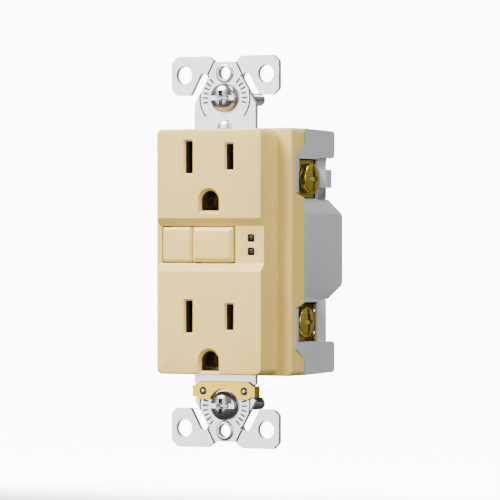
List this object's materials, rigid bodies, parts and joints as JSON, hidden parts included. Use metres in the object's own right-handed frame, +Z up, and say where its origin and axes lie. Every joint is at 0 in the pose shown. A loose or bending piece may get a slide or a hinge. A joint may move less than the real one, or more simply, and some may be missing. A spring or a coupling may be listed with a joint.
{
  "type": "ground-fault duplex receptacle",
  "caption": "Ivory wall receptacle with test and reset buttons, strap with plaster ears, side screw terminals and a grey rear housing.",
  "frame": {"origin": "centre of the mounting strap's rear plane, midway between the two mounting screws", "axes": "+X right as seen from the front, +Y into the wall, +Z up; the face looks along -Y"},
  "size_m": [0.0436, 0.0372, 0.1062],
  "materials": {
    "ivory_thermoplastic": "moulded, light satin",
    "grey_thermoplastic": "moulded, fine spark texture",
    "zinc_plated_steel": "stamped, bright zinc plate",
    "bright_steel": "plated, bright",
    "brass": "stamped, bright",
    "oiled_brass": "stamped, dull",
    "nickel_plated_brass": "nickel plated",
    "smoked_acrylic": "moulded, clear dark",
    "vulcanised_fibre": "punched sheet",
    "green_chromated_steel": "green chromate",
    "green_laminate": "glass-epoxy sheet",
    "black_nylon": "moulded",
    "enamelled_copper": "enamelled winding wire",
    "spring_steel": "drawn wire",
    "blue_epoxy": "dipped coating",
    "black_resin": "moulded",
    "yellow_film": "wrapped film"
  },
  "bodies": {
    "case": {"front_cover": "ivory_thermoplastic", "rear_housing": "grey_thermoplastic", "mounting_strap": "zinc_plated_steel", "ground_terminal": "zinc_plated_steel", "clip_rivet_left": "bright_steel", "clip_rivet_right": "bright_steel", "housing_screw_upper_right": "bright_steel", "housing_screw_lower_right": "bright_steel", "housing_screw_upper_left": "bright_steel", "housing_screw_lower_left": "bright_steel", "solenoid_frame": "bright_steel", "grounding_clip": "brass", "hot_face_contact": "brass", "neutral_face_contact": "brass", "ground_contact_upper": "brass", "ground_contact_lower": "brass", "test_leaf": "brass", "terminal_line_hot": "oiled_brass", "terminal_load_hot": "oiled_brass", "terminal_line_neutral": "nickel_plated_brass", "terminal_load_neutral": "nickel_plated_brass", "led_lens_upper": "smoked_acrylic", "led_lens_lower": "smoked_acrylic", "circuit_board": "green_laminate", "middle_frame": "black_nylon", "solenoid_bobbin": "black_nylon", "coil_cup": "black_nylon", "solenoid_winding": "enamelled_copper", "sense_coil": "enamelled_copper", "neutral_coil": "enamelled_copper", "reset_spring": "spring_steel", "plunger_spring": "spring_steel", "surge_varistor": "blue_epoxy", "control_chip": "black_resin", "film_capacitor": "yellow_film"},
    "test": {"test_button": "ivory_thermoplastic"},
    "reset": {"reset_button": "ivory_thermoplastic", "reset_pin": "bright_steel"},
    "latch": {"latch_block": "black_nylon", "moving_contact_hot": "brass", "moving_contact_neutral": "brass"},
    "catch": {"latch_plate": "bright_steel"},
    "plunger": {"solenoid_plunger": "bright_steel"},
    "retainer_top": {"screw_retainer_top": "vulcanised_fibre"},
    "strap_screw_top": {"mounting_screw_top": "bright_steel"},
    "retainer_bottom": {"screw_retainer_bottom": "vulcanised_fibre"},
    "strap_screw_bottom": {"mounting_screw_bottom": "bright_steel"},
    "clamp_ground": {"ground_clamp": "green_chromated_steel"},
    "screw_ground": {"ground_screw": "green_chromated_steel"},
    "clamp_line_hot": {"clamp_plate_line_hot": "oiled_brass"},
    "screw_line_hot": {"terminal_screw_line_hot": "brass"},
    "clamp_line_neutral": {"clamp_plate_line_neutral": "nickel_plated_brass"},
    "screw_line_neutral": {"terminal_screw_line_neutral": "nickel_plated_brass"},
    "clamp_load_hot": {"clamp_plate_load_hot": "oiled_brass"},
    "screw_load_hot": {"terminal_screw_load_hot": "brass"},
    "clamp_load_neutral": {"clamp_plate_load_neutral": "nickel_plated_brass"},
    "screw_load_neutral": {"terminal_screw_load_neutral": "nickel_plated_brass"}
  },
  "joints": [
    {"name": "test_press", "type": "slide", "parent": "case", "child": "test", "axis": [0, 1, 0], "range_m": [0, 0.0012], "stiffness_N_per_m": 700, "springref_m": -0.001},
    {"name": "reset_press", "type": "slide", "parent": "case", "child": "reset", "axis": [0, 1, 0], "range_m": [0, 0.0024], "stiffness_N_per_m": 600, "springref_m": -0.0015, "deforming": ["reset_spring"]},
    {"name": "latch_lift", "type": "slide", "parent": "case", "child": "latch", "axis": [0, -1, 0], "range_m": [0, 0.0012], "stiffness_N_per_m": 400, "springref_m": -0.001},
    {"name": "plunger_pull", "type": "slide", "parent": "case", "child": "plunger", "axis": [-1, 0, 0], "range_m": [0, 0.0016], "stiffness_N_per_m": 200, "springref_m": -0.001, "deforming": ["plunger_spring"]},
    {"name": "catch_release", "type": "slide", "parent": "latch", "child": "catch", "axis": [-1, 0, 0], "range_m": [0, 0.0016]},
    {"name": "retainer_top_shift", "type": "slide", "parent": "case", "child": "retainer_top", "axis": [1, 0, 0], "range_m": [-0.0012, 0.0012]},
    {"name": "strap_screw_top_turn", "type": "hinge", "parent": "retainer_top", "child": "strap_screw_top", "pos_m": [0, 0, 0.04167], "axis": [0, -1, 0], "continuous": true},
    {"name": "retainer_bottom_shift", "type": "slide", "parent": "case", "child": "retainer_bottom", "axis": [1, 0, 0], "range_m": [-0.0005, 0.0005]},
    {"name": "strap_screw_bottom_turn", "type": "hinge", "parent": "retainer_bottom", "child": "strap_screw_bottom", "pos_m": [0, 0, -0.04167], "axis": [0, -1, 0], "continuous": true},
    {"name": "clamp_line_hot_travel", "type": "slide", "parent": "case", "child": "clamp_line_hot", "axis": [1, 0, 0], "range_m": [-0.00158, 0]},
    {"name": "screw_line_hot_turn", "type": "hinge", "parent": "clamp_line_hot", "child": "screw_line_hot", "pos_m": [0.018, 0.00935, 0.01975], "axis": [1, 0, 0], "range_deg": [-720, 0]},
    {"name": "clamp_line_neutral_travel", "type": "slide", "parent": "case", "child": "clamp_line_neutral", "axis": [-1, 0, 0], "range_m": [-0.00158, 0]},
    {"name": "screw_line_neutral_turn", "type": "hinge", "parent": "clamp_line_neutral", "child": "screw_line_neutral", "pos_m": [-0.018, 0.00935, 0.01975], "axis": [-1, 0, 0], "range_deg": [-720, 0]},
    {"name": "clamp_load_hot_travel", "type": "slide", "parent": "case", "child": "clamp_load_hot", "axis": [1, 0, 0], "range_m": [0, 0.00158]},
    {"name": "screw_load_hot_turn", "type": "hinge", "parent": "clamp_load_hot", "child": "screw_load_hot", "pos_m": [0.018, 0.00935, -0.019], "axis": [1, 0, 0], "range_deg": [0, 720]},
    {"name": "clamp_load_neutral_travel", "type": "slide", "parent": "case", "child": "clamp_load_neutral", "axis": [-1, 0, 0], "range_m": [0, 0.00158]},
    {"name": "screw_load_neutral_turn", "type": "hinge", "parent": "clamp_load_neutral", "child": "screw_load_neutral", "pos_m": [-0.018, 0.00935, -0.019], "axis": [-1, 0, 0], "range_deg": [0, 720]},
    {"name": "clamp_ground_travel", "type": "slide", "parent": "case", "child": "clamp_ground", "axis": [0, 0, -1], "range_m": [0, 0.00118]},
    {"name": "screw_ground_turn", "type": "hinge", "parent": "clamp_ground", "child": "screw_ground", "pos_m": [0, 0.007, -0.0363], "axis": [0, 0, -1], "range_deg": [0, 540]}
  ],
  "couplings": [
    {"joint": "catch_release", "follows": "plunger_pull", "ratio": 1},
    {"joint": "screw_line_hot_turn", "follows": "clamp_line_hot_travel", "rad_per_m": 7915.8},
    {"joint": "screw_line_neutral_turn", "follows": "clamp_line_neutral_travel", "rad_per_m": 7915.8},
    {"joint": "screw_load_hot_turn", "follows": "clamp_load_hot_travel", "rad_per_m": 7915.8},
    {"joint": "screw_load_neutral_turn", "follows": "clamp_load_neutral_travel", "rad_per_m": 7915.8},
    {"joint": "screw_ground_turn", "follows": "clamp_ground_travel", "rad_per_m": 7915.8}
  ]
}
